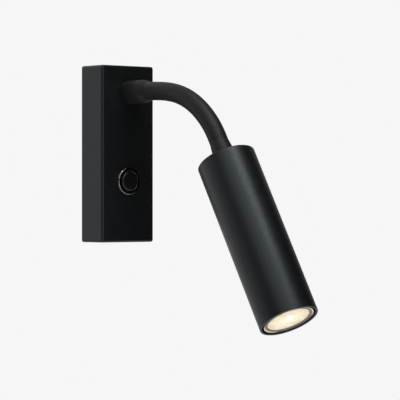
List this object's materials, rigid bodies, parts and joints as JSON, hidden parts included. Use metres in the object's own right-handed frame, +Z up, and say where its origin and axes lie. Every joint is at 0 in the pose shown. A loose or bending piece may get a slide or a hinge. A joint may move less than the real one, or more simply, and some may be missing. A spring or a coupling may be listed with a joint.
{
  "type": "bedside wall reading lamp",
  "caption": "Slim black wall lamp: upright box with a push switch, a short flexible arm and a long cylindrical head with a small reflector lamp.",
  "frame": {"origin": "middle of the wall plate's back face, midway between its two screw slots, on the wall", "axes": "+Z up, the room at -Y and the wall at +Y, +X to the right for someone facing the lamp; the arm and head lie in the plane x = 0"},
  "size_m": [0.046, 0.2087, 0.1828],
  "materials": {
    "black_paint": "satin black powder coat",
    "black_sleeve": "matte silicone",
    "black_rubber": "matte",
    "zinc_steel": "zinc plated",
    "bright_screw": "bright",
    "black_screw": "black zinc",
    "black_chrome": "polished black",
    "black_gloss": "semi-gloss",
    "black_plastic": "matte",
    "white_plastic": "matte",
    "brass": "bare",
    "spring_steel": "drawn wire",
    "core_steel": "wound wire",
    "lead_grey": "round lead",
    "lead_brown": "single core",
    "lead_blue": "single core",
    "lead_white": "silicone single cores",
    "ceramic": "glazed ceramic",
    "lamp_cream": "glazed base",
    "mirror_coat": "evaporated aluminium",
    "lamp_rim": "bright rim",
    "lamp_glass": "faceted, warm"
  },
  "bodies": {
    "wall_box": {"wall_bracket": "zinc_steel", "housing": "black_paint", "housing_screws": "black_screw", "entry_grommet": "black_rubber", "cable_clamp": "white_plastic", "cable_clamp_screws": "bright_screw", "terminal_block": "white_plastic", "terminal_screws": "bright_screw", "terminal_block_screws": "bright_screw", "earth_washer": "brass", "earth_screw": "brass", "switch_bezel": "black_chrome", "switch_body": "black_plastic", "switch_nut": "black_plastic", "switch_spring": "spring_steel", "switch_terminals": "brass", "arm_root_ferrule": "zinc_steel", "arm_root_nipple": "brass", "arm_root_washer": "zinc_steel", "arm_root_nut": "zinc_steel", "neck_root_core": "core_steel", "neck_sleeve": "black_sleeve", "neck_lead": "lead_grey", "live_lead": "lead_brown", "neutral_lead": "lead_blue", "switched_lead": "lead_brown"},
    "button": {"push_button": "black_gloss"},
    "neck_01": {"neck_turns_01": "core_steel"},
    "neck_02": {"neck_turns_02": "core_steel"},
    "neck_03": {"neck_turns_03": "core_steel"},
    "neck_04": {"neck_turns_04": "core_steel"},
    "neck_05": {"neck_turns_05": "core_steel"},
    "neck_06": {"neck_turns_06": "core_steel"},
    "neck_07": {"neck_turns_07": "core_steel"},
    "neck_08": {"neck_turns_08": "core_steel"},
    "neck_09": {"neck_turns_09": "core_steel"},
    "neck_10": {"neck_turns_10": "core_steel"},
    "neck_11": {"neck_turns_11": "core_steel"},
    "head": {"arm_tip_ferrule": "zinc_steel", "arm_tip_nipple": "brass", "arm_tip_washer": "zinc_steel", "arm_tip_nut": "zinc_steel", "neck_tip_core": "core_steel", "head_tube": "black_paint", "holder_bracket": "zinc_steel", "lamp_holder": "ceramic", "holder_screws": "bright_screw", "holder_contacts": "brass", "head_leads": "lead_white"},
    "lamp": {"lamp_base": "lamp_cream", "lamp_pins": "brass", "lamp_reflector": "mirror_coat", "lamp_bezel": "lamp_rim", "lamp_lens": "lamp_glass", "lamp_clips": "lamp_rim", "lamp_capsule": "lamp_glass"}
  },
  "joints": [
    {"name": "root_bend", "type": "hinge", "parent": "wall_box", "child": "neck_01", "pos_m": [0, -0.05117, 0.0433], "axis": [1, 0, 0], "range_deg": [-22, 7], "deforming": ["neck_sleeve", "neck_lead"]},
    {"name": "root_swing", "type": "hinge", "parent": "neck_01", "child": "neck_02", "pos_m": [0, -0.05852, 0.04298], "axis": [0, -0.0436, 0.999], "range_deg": [-10, 10], "deforming": ["neck_sleeve", "neck_lead"]},
    {"name": "root_bend_2", "type": "hinge", "parent": "neck_02", "child": "neck_03", "pos_m": [0, -0.06586, 0.04266], "axis": [1, 0, 0], "range_deg": [-22, 7], "deforming": ["neck_sleeve", "neck_lead"]},
    {"name": "root_swing_2", "type": "hinge", "parent": "neck_03", "child": "neck_04", "pos_m": [0, -0.0731, 0.04138], "axis": [0, -0.1736, 0.9848], "range_deg": [-10, 10], "deforming": ["neck_sleeve", "neck_lead"]},
    {"name": "root_bend_3", "type": "hinge", "parent": "neck_04", "child": "neck_05", "pos_m": [0, -0.08034, 0.04011], "axis": [1, 0, 0], "range_deg": [-22, 7], "deforming": ["neck_sleeve", "neck_lead"]},
    {"name": "root_swing_3", "type": "hinge", "parent": "neck_05", "child": "neck_06", "pos_m": [0, -0.08715, 0.03735], "axis": [0, -0.3746, 0.9272], "range_deg": [-10, 10], "deforming": ["neck_sleeve", "neck_lead"]},
    {"name": "tip_bend", "type": "hinge", "parent": "neck_06", "child": "neck_07", "pos_m": [0, -0.09397, 0.0346], "axis": [1, 0, 0], "range_deg": [-31, 6], "deforming": ["neck_sleeve", "neck_lead"]},
    {"name": "tip_swing", "type": "hinge", "parent": "neck_07", "child": "neck_08", "pos_m": [0, -0.10002, 0.03044], "axis": [0, -0.5664, 0.8241], "range_deg": [-10, 10], "deforming": ["neck_sleeve", "neck_lead"]},
    {"name": "tip_bend_2", "type": "hinge", "parent": "neck_08", "child": "neck_09", "pos_m": [0, -0.10608, 0.02627], "axis": [1, 0, 0], "range_deg": [-31, 6], "deforming": ["neck_sleeve", "neck_lead"]},
    {"name": "tip_swing_2", "type": "hinge", "parent": "neck_09", "child": "neck_10", "pos_m": [0, -0.11119, 0.02099], "axis": [0, -0.7193, 0.6947], "range_deg": [-10, 10], "deforming": ["neck_sleeve", "neck_lead"]},
    {"name": "tip_bend_3", "type": "hinge", "parent": "neck_10", "child": "neck_11", "pos_m": [0, -0.11629, 0.0157], "axis": [1, 0, 0], "range_deg": [-31, 6], "deforming": ["neck_sleeve", "neck_lead"]},
    {"name": "tip_swing_3", "type": "hinge", "parent": "neck_11", "child": "head", "pos_m": [0, -0.12006, 0.00939], "axis": [0, -0.859, 0.512], "range_deg": [-10, 10], "deforming": ["neck_sleeve", "neck_lead"]},
    {"name": "button_travel", "type": "slide", "parent": "wall_box", "child": "button", "axis": [0, 1, 0], "range_m": [0, 0.0022], "stiffness_N_per_m": 600, "springref_m": -0.001, "deforming": ["switch_spring"]},
    {"name": "lamp_twist", "type": "hinge", "parent": "head", "child": "lamp", "pos_m": [0, -0.12911, -0.0058], "axis": [0, -0.512, -0.859], "range_deg": [0, 20]}
  ],
  "couplings": [
    {"joint": "root_bend_2", "follows": "root_bend", "ratio": 1},
    {"joint": "root_bend_3", "follows": "root_bend", "ratio": 1},
    {"joint": "root_swing_2", "follows": "root_swing", "ratio": 1},
    {"joint": "root_swing_3", "follows": "root_swing", "ratio": 1},
    {"joint": "tip_bend_2", "follows": "tip_bend", "ratio": 1},
    {"joint": "tip_bend_3", "follows": "tip_bend", "ratio": 1},
    {"joint": "tip_swing_2", "follows": "tip_swing", "ratio": 1},
    {"joint": "tip_swing_3", "follows": "tip_swing", "ratio": 1}
  ]
}
